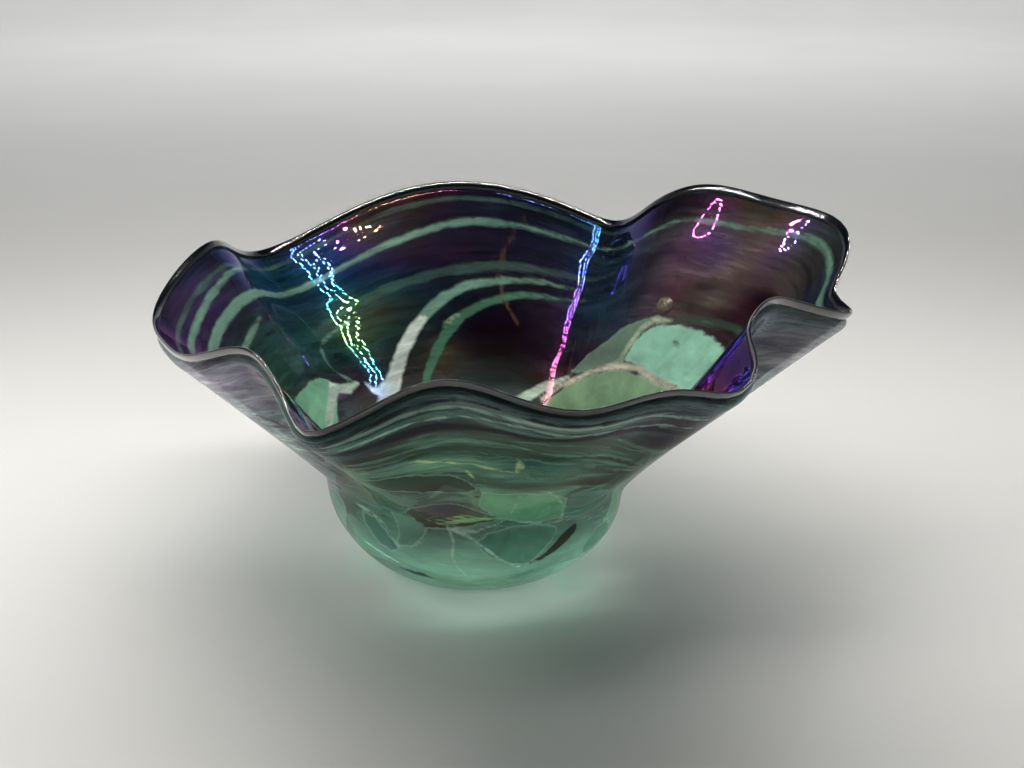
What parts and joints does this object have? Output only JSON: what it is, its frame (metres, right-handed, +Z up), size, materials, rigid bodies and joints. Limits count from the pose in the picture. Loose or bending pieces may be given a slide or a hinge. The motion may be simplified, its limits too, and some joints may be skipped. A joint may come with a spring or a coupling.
{
  "type": "art glass bowl",
  "caption": "Hand-blown art glass bowl: small round body with mint colour chips, wide flare with drawn bands and a ruffled, fire-polished rim.",
  "frame": {"origin": "centre of the ground flat of the foot, on the surface the bowl stands on", "axes": "+Z up along the axis of the round body; +X along the widest reach of the rim, towards its highest and sharpest corner; +Y to the back"},
  "size_m": [0.2722, 0.2653, 0.1381],
  "materials": {
    "amethyst_glass": "transparent deep amethyst glass with an iridescent lustre on the inside",
    "pale_green_glass": "transparent pale sea-green glass, fire polished",
    "mint_glass": "translucent mint-green opal glass, fire polished",
    "dark_amethyst_glass": "near-black amethyst glass, fire polished",
    "sage_glass": "translucent sage-green opal glass drawn out in streaks",
    "smoke_glass": "transparent smoke-brown and violet glass drawn out in streaks",
    "lip_glass": "near-black navy glass, fire polished round",
    "tan_glass": "opaque tan glass"
  },
  "bodies": {
    "root": {"amethyst_inner_wall": "amethyst_glass", "amethyst_sliver_back": "dark_amethyst_glass", "amethyst_sliver_front": "dark_amethyst_glass", "amethyst_sliver_left": "dark_amethyst_glass", "clear_body_casing": "pale_green_glass", "ground_foot": "pale_green_glass", "lip_bead": "lip_glass", "mint_chip_01": "mint_glass", "mint_chip_02": "mint_glass", "mint_chip_03": "mint_glass", "mint_chip_04": "mint_glass", "mint_chip_05": "mint_glass", "mint_chip_06": "mint_glass", "mint_chip_07": "mint_glass", "mint_chip_08": "mint_glass", "mint_chip_09": "mint_glass", "mint_chip_10": "mint_glass", "mint_chip_11": "mint_glass", "mint_chip_12": "mint_glass", "mint_chip_13": "mint_glass", "mint_chip_14": "mint_glass", "mint_chip_15": "mint_glass", "mint_chip_16": "mint_glass", "mint_chip_17": "mint_glass", "sage_band_high": "sage_glass", "sage_band_low": "sage_glass", "sage_band_middle": "sage_glass", "smoke_band_high": "smoke_glass", "smoke_band_low": "smoke_glass", "smoke_band_middle": "smoke_glass", "tan_seed": "tan_glass"}
  },
  "joints": []
}
